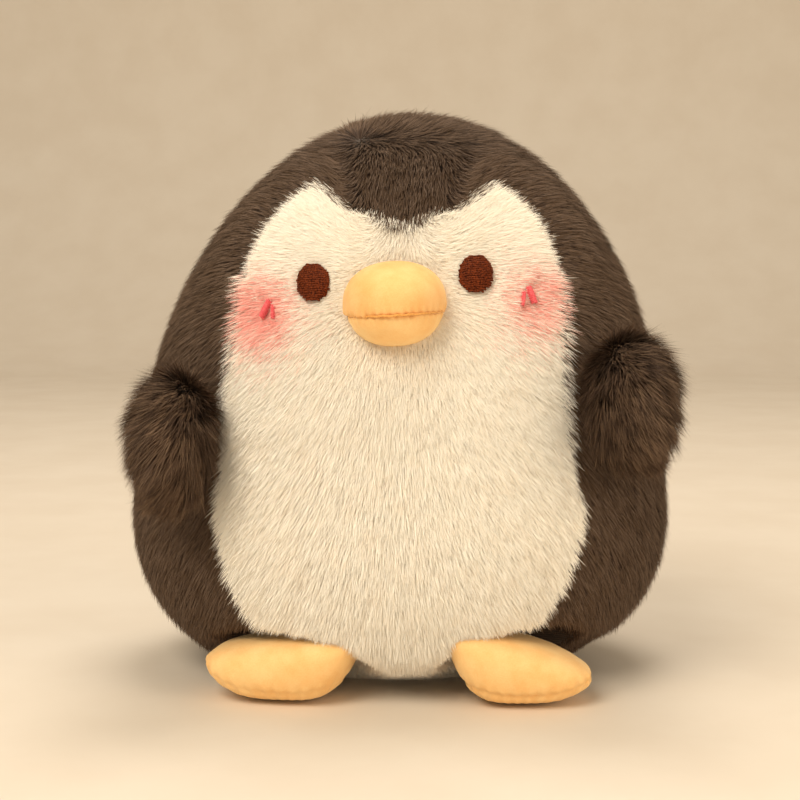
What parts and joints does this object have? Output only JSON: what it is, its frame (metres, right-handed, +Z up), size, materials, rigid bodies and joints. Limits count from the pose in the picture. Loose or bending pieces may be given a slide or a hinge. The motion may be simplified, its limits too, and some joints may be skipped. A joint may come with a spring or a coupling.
{
  "type": "plush penguin",
  "caption": "Sitting egg-shaped fur-fabric penguin toy with a white front, dark hood and back, stub wings, a stuffed velvet beak and oval velvet feet on a flat base.",
  "frame": {"origin": "centre of the flat base on the floor", "axes": "-Y the way the face looks, +X the toy's own left side, +Z up"},
  "size_m": [0.2022, 0.173, 0.2095],
  "materials": {
    "white_fur": "cream-white faux fur, pile about 8 mm",
    "dark_fur": "dark brown-grey faux fur, pile about 8 mm",
    "wing_fur": "dark brown faux fur, longer pile",
    "fibre_stuffing": "loose polyester fibre filling",
    "yellow_velvet": "pale yellow short-pile velvet",
    "beak_thread": "matt sewing thread, ochre",
    "eye_thread": "dark red-brown satin-stitch embroidery thread",
    "cheek_thread": "red-pink embroidery thread",
    "seam_thread": "dark sewing thread",
    "label_satin": "blank white satin ribbon"
  },
  "bodies": {
    "body": {"front_panel_left": "white_fur", "front_panel_right": "white_fur", "base_panel": "white_fur", "back_panel_left": "dark_fur", "back_panel_right": "dark_fur", "body_stuffing": "fibre_stuffing", "beak_stuffing": "fibre_stuffing", "beak_upper": "yellow_velvet", "beak_lower": "yellow_velvet", "mouth_stitch": "beak_thread", "eye_left": "eye_thread", "eye_right": "eye_thread", "cheek_stitch_left": "cheek_thread", "cheek_stitch_right": "cheek_thread", "closing_stitch": "seam_thread", "care_label": "label_satin"},
    "wing_left": {"wing_outer_panel_left": "wing_fur", "wing_inner_panel_left": "wing_fur", "wing_stuffing_left": "fibre_stuffing"},
    "wing_right": {"wing_outer_panel_right": "wing_fur", "wing_inner_panel_right": "wing_fur", "wing_stuffing_right": "fibre_stuffing"},
    "foot_left": {"foot_upper_left": "yellow_velvet", "foot_sole_left": "yellow_velvet", "foot_stuffing_left": "fibre_stuffing"},
    "foot_right": {"foot_upper_right": "yellow_velvet", "foot_sole_right": "yellow_velvet", "foot_stuffing_right": "fibre_stuffing"}
  },
  "joints": [
    {"name": "wing_left_swing", "type": "hinge", "parent": "body", "child": "wing_left", "pos_m": [0.07894, -0.04666, 0.10759], "axis": [0, 0, 1], "range_deg": [0, 45], "stiffness_Nm_per_rad": 0.01},
    {"name": "wing_right_swing", "type": "hinge", "parent": "body", "child": "wing_right", "pos_m": [-0.07478, -0.05224, 0.09404], "axis": [0, 0, -1], "range_deg": [0, 45], "stiffness_Nm_per_rad": 0.01},
    {"name": "foot_left_lift", "type": "hinge", "parent": "body", "child": "foot_left", "pos_m": [0.045, -0.033, 0.013], "axis": [-1, 0, 0], "range_deg": [0, 10], "stiffness_Nm_per_rad": 0.03},
    {"name": "foot_right_lift", "type": "hinge", "parent": "body", "child": "foot_right", "pos_m": [-0.0365, -0.033, 0.013], "axis": [-1, 0, 0], "range_deg": [0, 10], "stiffness_Nm_per_rad": 0.03}
  ]
}
